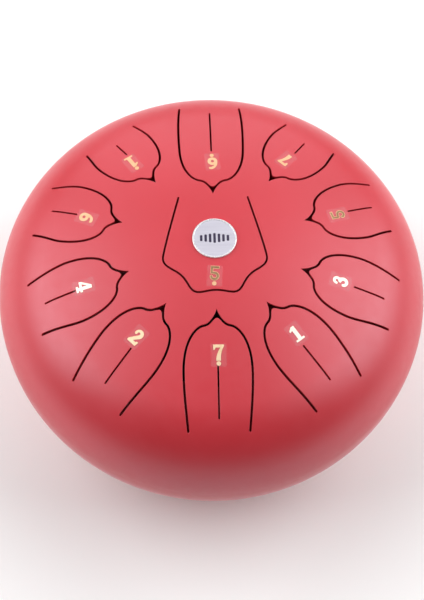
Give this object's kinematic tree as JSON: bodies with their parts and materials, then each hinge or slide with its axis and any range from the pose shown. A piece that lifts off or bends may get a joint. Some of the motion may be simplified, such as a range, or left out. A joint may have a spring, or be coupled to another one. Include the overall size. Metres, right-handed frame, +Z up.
{
  "type": "steel tongue drum",
  "caption": "Round steel tongue drum with petal-shaped note tongues cut in its domed top, numbered films, a plain badge, a sound hole and rubber feet.",
  "frame": {"origin": "centre of the drum on the plane its feet stand on", "axes": "+Z up the drum's axis; -Y toward the longest side tongue nearest the player; +X to the player's right"},
  "size_m": [0.305, 0.305, 0.1725],
  "materials": {
    "red_paint": "satin sprayed and baked paint on steel sheet",
    "clear_film": "clear glossy film",
    "gold_foil": "hot-stamped foil",
    "badge_metal": "fine satin with a bright rim",
    "rubber": "moulded matt rubber",
    "zinc_steel": "zinc plated",
    "fibre": "vulcanised fibre"
  },
  "bodies": {
    "shell": {"top_shell": "red_paint", "bottom_shell": "red_paint", "seam_weld": "red_paint", "rubber_feet": "rubber", "foot_screws": "zinc_steel", "foot_washers": "fibre", "foot_nuts": "zinc_steel"},
    "note_5_low": {"tongue_5_low": "red_paint", "film_5_low": "clear_film", "digit_5_low": "gold_foil", "badge": "badge_metal"},
    "note_6_low": {"tongue_6_low": "red_paint", "film_6_low": "clear_film", "digit_6_low": "gold_foil"},
    "note_7_low": {"tongue_7_low": "red_paint", "film_7_low": "clear_film", "digit_7_low": "gold_foil"},
    "note_1": {"tongue_1": "red_paint", "film_1": "clear_film", "digit_1": "gold_foil"},
    "note_2": {"tongue_2": "red_paint", "film_2": "clear_film", "digit_2": "gold_foil"},
    "note_3": {"tongue_3": "red_paint", "film_3": "clear_film", "digit_3": "gold_foil"},
    "note_4": {"tongue_4": "red_paint", "film_4": "clear_film", "digit_4": "gold_foil"},
    "note_5": {"tongue_5": "red_paint", "film_5": "clear_film", "digit_5": "gold_foil"},
    "note_6": {"tongue_6": "red_paint", "film_6": "clear_film", "digit_6": "gold_foil"},
    "note_7": {"tongue_7": "red_paint", "film_7": "clear_film", "digit_7": "gold_foil"},
    "note_1_high": {"tongue_1_high": "red_paint", "film_1_high": "clear_film", "digit_1_high": "gold_foil"}
  },
  "joints": [
    {"name": "flex_5_low", "type": "hinge", "parent": "shell", "child": "note_5_low", "pos_m": [0, 0.03837, 0.16848], "axis": [1, 0, 0], "range_deg": [-0.4, 0.4], "stiffness_Nm_per_rad": 136},
    {"name": "flex_6_low", "type": "hinge", "parent": "shell", "child": "note_6_low", "pos_m": [0, 0.12367, 0.1495], "axis": [1, 0, 0], "range_deg": [-0.4, 0.4], "stiffness_Nm_per_rad": 92},
    {"name": "flex_7_low", "type": "hinge", "parent": "shell", "child": "note_7_low", "pos_m": [0, -0.12548, 0.14846], "axis": [-1, 0, 0], "range_deg": [-0.4, 0.4], "stiffness_Nm_per_rad": 93},
    {"name": "flex_1", "type": "hinge", "parent": "shell", "child": "note_1", "pos_m": [0.07984, -0.10002, 0.14673], "axis": [-0.7815, -0.6239, 0], "range_deg": [-0.4, 0.4], "stiffness_Nm_per_rad": 97},
    {"name": "flex_2", "type": "hinge", "parent": "shell", "child": "note_2", "pos_m": [-0.07984, -0.10002, 0.14673], "axis": [-0.7815, 0.6239, 0], "range_deg": [-0.4, 0.4], "stiffness_Nm_per_rad": 97},
    {"name": "flex_3", "type": "hinge", "parent": "shell", "child": "note_3", "pos_m": [0.12203, -0.03615, 0.14727], "axis": [-0.284, -0.9588, 0], "range_deg": [-0.4, 0.4], "stiffness_Nm_per_rad": 107},
    {"name": "flex_4", "type": "hinge", "parent": "shell", "child": "note_4", "pos_m": [-0.12203, -0.03615, 0.14727], "axis": [-0.284, 0.9588, 0], "range_deg": [-0.4, 0.4], "stiffness_Nm_per_rad": 107},
    {"name": "flex_5", "type": "hinge", "parent": "shell", "child": "note_5", "pos_m": [0.1191, 0.03916, 0.14854], "axis": [0.3123, -0.95, 0], "range_deg": [-0.4, 0.4], "stiffness_Nm_per_rad": 123},
    {"name": "flex_6", "type": "hinge", "parent": "shell", "child": "note_6", "pos_m": [-0.1191, 0.03916, 0.14854], "axis": [0.3123, 0.95, 0], "range_deg": [-0.4, 0.4], "stiffness_Nm_per_rad": 123},
    {"name": "flex_7", "type": "hinge", "parent": "shell", "child": "note_7", "pos_m": [0.07217, 0.09509, 0.15193], "axis": [0.7965, -0.6046, 0], "range_deg": [-0.4, 0.4], "stiffness_Nm_per_rad": 141},
    {"name": "flex_1_high", "type": "hinge", "parent": "shell", "child": "note_1_high", "pos_m": [-0.07217, 0.09509, 0.15193], "axis": [0.7965, 0.6046, 0], "range_deg": [-0.4, 0.4], "stiffness_Nm_per_rad": 141}
  ]
}
